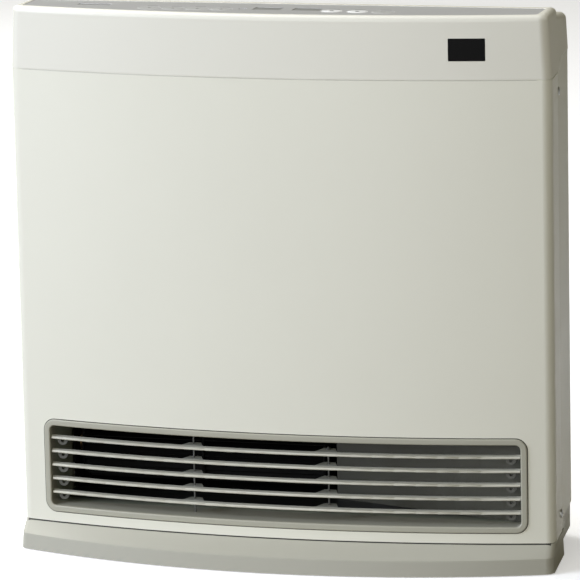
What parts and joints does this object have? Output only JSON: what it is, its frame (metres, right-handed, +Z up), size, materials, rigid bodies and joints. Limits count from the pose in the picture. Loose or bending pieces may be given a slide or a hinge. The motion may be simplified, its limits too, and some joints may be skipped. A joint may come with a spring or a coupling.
{
  "type": "gas fan heater",
  "caption": "Free-standing gas fan convector heater with a bowed front, top keys, a low warm-air louvre and a rear filter.",
  "frame": {"origin": "on the floor under the middle of the overall box", "axes": "+Z up, the louvre and bowed front face -Y, +X to the right seen from the front"},
  "size_m": [0.4684, 0.197, 0.47],
  "materials": {
    "body_paint": "smooth satin powder coat",
    "cover_plastic": "fine satin moulding",
    "base_plastic": "fine satin moulding",
    "bezel_plastic": "fine satin moulding",
    "slat_resin": "smooth satin",
    "overlay_film": "soft sheen",
    "display_tint": "smoked and glossy",
    "lens_grey": "translucent",
    "key_white": "smooth",
    "key_grey": "smooth",
    "sensor_black": "glossy black",
    "board_green": "circuit board",
    "rubber_black": "matte",
    "zinc_steel": "zinc plated",
    "duct_steel": "galvanised sheet",
    "chamber_steel": "aluminised sheet",
    "rotor_aluminium": "bare",
    "bearing_bronze": "sintered",
    "motor_black": "satin black",
    "valve_aluminium": "cast",
    "pipe_aluminium": "drawn",
    "inlet_brass": "machined",
    "electrode_ceramic": "glazed ceramic",
    "supply_resin": "potted",
    "grille_plastic": "fine satin moulding",
    "filter_plastic": "fine mesh frame"
  },
  "bodies": {
    "heater_body": {"base_plinth": "base_plastic", "rubber_feet": "rubber_black", "front_panel": "body_paint", "case_shell": "body_paint", "side_screws": "zinc_steel", "rear_screws": "zinc_steel", "top_cover": "cover_plastic", "control_panel": "overlay_film", "display_left": "display_tint", "display_right": "display_tint", "signal_lens": "lens_grey", "lamp_lens": "lens_grey", "control_board": "board_green", "sensor_window": "sensor_black", "louvre_bezel": "bezel_plastic", "louvre_stay": "zinc_steel", "outlet_duct": "duct_steel", "duct_baffle": "duct_steel", "fan_casing": "duct_steel", "fan_bearing": "bearing_bronze", "fan_motor": "motor_black", "chassis_plate": "duct_steel", "combustion_chamber": "chamber_steel", "burner": "chamber_steel", "igniter": "electrode_ceramic", "flame_sensor": "electrode_ceramic", "gas_valve": "valve_aluminium", "gas_feed": "pipe_aluminium", "gas_pipe": "pipe_aluminium", "gas_inlet": "inlet_brass", "power_supply": "supply_resin", "overheat_switch": "supply_resin", "rear_grille": "grille_plastic", "cable_grommet": "rubber_black"},
    "power_key": {"power_key": "key_white"},
    "heat_key": {"heat_key": "key_white"},
    "timer_less_key": {"timer_less_key": "key_grey"},
    "timer_more_key": {"timer_more_key": "key_grey"},
    "cooler_key": {"cooler_key": "key_grey"},
    "warmer_key": {"warmer_key": "key_grey"},
    "lock_key": {"lock_key": "key_grey"},
    "louvre_slat_1": {"louvre_slat_1": "slat_resin"},
    "louvre_slat_2": {"louvre_slat_2": "slat_resin"},
    "louvre_slat_3": {"louvre_slat_3": "slat_resin"},
    "louvre_slat_4": {"louvre_slat_4": "slat_resin"},
    "louvre_slat_5": {"louvre_slat_5": "slat_resin"},
    "louvre_link": {"louvre_link": "zinc_steel"},
    "fan_rotor": {"fan_rotor": "rotor_aluminium"},
    "air_filter": {"air_filter": "filter_plastic"}
  },
  "joints": [
    {"name": "power_key_press", "type": "slide", "parent": "heater_body", "child": "power_key", "axis": [0, 0, -1], "range_m": [0, 0.0008], "stiffness_N_per_m": 900, "springref_m": -0.0006},
    {"name": "heat_key_press", "type": "slide", "parent": "heater_body", "child": "heat_key", "axis": [0, 0, -1], "range_m": [0, 0.0008], "stiffness_N_per_m": 900, "springref_m": -0.0006},
    {"name": "timer_less_key_press", "type": "slide", "parent": "heater_body", "child": "timer_less_key", "axis": [0, 0, -1], "range_m": [0, 0.0008], "stiffness_N_per_m": 900, "springref_m": -0.0006},
    {"name": "timer_more_key_press", "type": "slide", "parent": "heater_body", "child": "timer_more_key", "axis": [0, 0, -1], "range_m": [0, 0.0008], "stiffness_N_per_m": 900, "springref_m": -0.0006},
    {"name": "cooler_key_press", "type": "slide", "parent": "heater_body", "child": "cooler_key", "axis": [0, 0, -1], "range_m": [0, 0.0008], "stiffness_N_per_m": 900, "springref_m": -0.0006},
    {"name": "warmer_key_press", "type": "slide", "parent": "heater_body", "child": "warmer_key", "axis": [0, 0, -1], "range_m": [0, 0.0008], "stiffness_N_per_m": 900, "springref_m": -0.0006},
    {"name": "lock_key_press", "type": "slide", "parent": "heater_body", "child": "lock_key", "axis": [0, 0, -1], "range_m": [0, 0.0008], "stiffness_N_per_m": 900, "springref_m": -0.0006},
    {"name": "louvre_slat_1_tilt", "type": "hinge", "parent": "heater_body", "child": "louvre_slat_1", "pos_m": [0, -0.0453, 0.0979], "axis": [1, 0, 0], "range_deg": [-10, 10]},
    {"name": "louvre_slat_2_tilt", "type": "hinge", "parent": "heater_body", "child": "louvre_slat_2", "pos_m": [0, -0.0453, 0.08595], "axis": [1, 0, 0], "range_deg": [-10, 10]},
    {"name": "louvre_slat_3_tilt", "type": "hinge", "parent": "heater_body", "child": "louvre_slat_3", "pos_m": [0, -0.0453, 0.074], "axis": [1, 0, 0], "range_deg": [-10, 10]},
    {"name": "louvre_slat_4_tilt", "type": "hinge", "parent": "heater_body", "child": "louvre_slat_4", "pos_m": [0, -0.0453, 0.06205], "axis": [1, 0, 0], "range_deg": [-10, 10]},
    {"name": "louvre_slat_5_tilt", "type": "hinge", "parent": "heater_body", "child": "louvre_slat_5", "pos_m": [0, -0.0453, 0.0501], "axis": [1, 0, 0], "range_deg": [-10, 10]},
    {"name": "louvre_link_slide", "type": "slide", "parent": "heater_body", "child": "louvre_link", "axis": [0, 0, 1], "range_m": [-0.00122, 0.00122]},
    {"name": "fan_rotor_spin", "type": "hinge", "parent": "heater_body", "child": "fan_rotor", "pos_m": [0, 0.0387, 0.0749], "axis": [1, 0, 0], "continuous": true},
    {"name": "air_filter_slide", "type": "slide", "parent": "heater_body", "child": "air_filter", "axis": [0, 0, 1], "range_m": [0, 0.2]}
  ],
  "couplings": [
    {"joint": "louvre_slat_1_tilt", "follows": "louvre_link_slide", "rad_per_m": -142.86},
    {"joint": "louvre_slat_2_tilt", "follows": "louvre_link_slide", "rad_per_m": -142.86},
    {"joint": "louvre_slat_3_tilt", "follows": "louvre_link_slide", "rad_per_m": -142.86},
    {"joint": "louvre_slat_4_tilt", "follows": "louvre_link_slide", "rad_per_m": -142.86},
    {"joint": "louvre_slat_5_tilt", "follows": "louvre_link_slide", "rad_per_m": -142.86}
  ]
}
